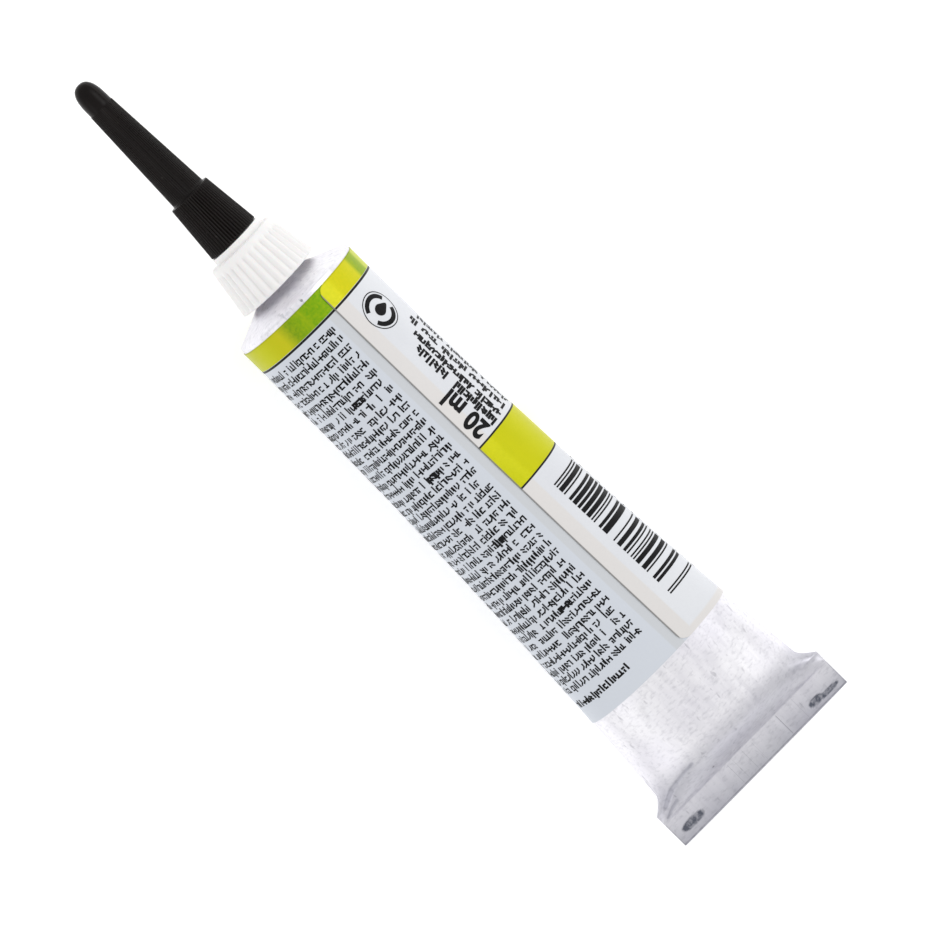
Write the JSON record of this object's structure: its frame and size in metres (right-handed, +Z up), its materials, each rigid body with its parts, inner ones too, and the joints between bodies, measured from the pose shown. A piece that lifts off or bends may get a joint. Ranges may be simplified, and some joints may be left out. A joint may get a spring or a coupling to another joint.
{
  "type": "paint outliner tube",
  "caption": "Collapsible metal tube of outliner paint with a wrap-round film label, a fluted screw nozzle and a long slim ribbed cap; flat folded tail hem.",
  "frame": {"origin": "centre of the bounding box, on the surface that the tube lies on", "axes": "+X along the tube towards its folded tail, +Z up, +Y across the flat tail"},
  "size_m": [0.1248, 0.0298, 0.0198],
  "materials": {
    "tube_metal": "satin drawn metal with fine lengthwise scratches",
    "label_film": "printed film, soft gloss",
    "nozzle_plastic": "white moulded plastic, soft gloss",
    "cap_plastic": "black moulded plastic, semi-gloss",
    "paint": "wet paint"
  },
  "bodies": {
    "tube_body": {"tube": "tube_metal", "label": "label_film", "paint": "paint"},
    "nozzle_body": {"nozzle": "nozzle_plastic"},
    "cap_body": {"cap": "cap_plastic"}
  },
  "joints": [
    {"name": "nozzle_off", "type": "slide", "parent": "tube_body", "child": "nozzle_body", "axis": [-0.9992, 0, 0.0402], "range_m": [0, 0.014]},
    {"name": "cap_off", "type": "slide", "parent": "nozzle_body", "child": "cap_body", "axis": [-0.9992, 0, 0.0402], "range_m": [0, 0.032]}
  ]
}
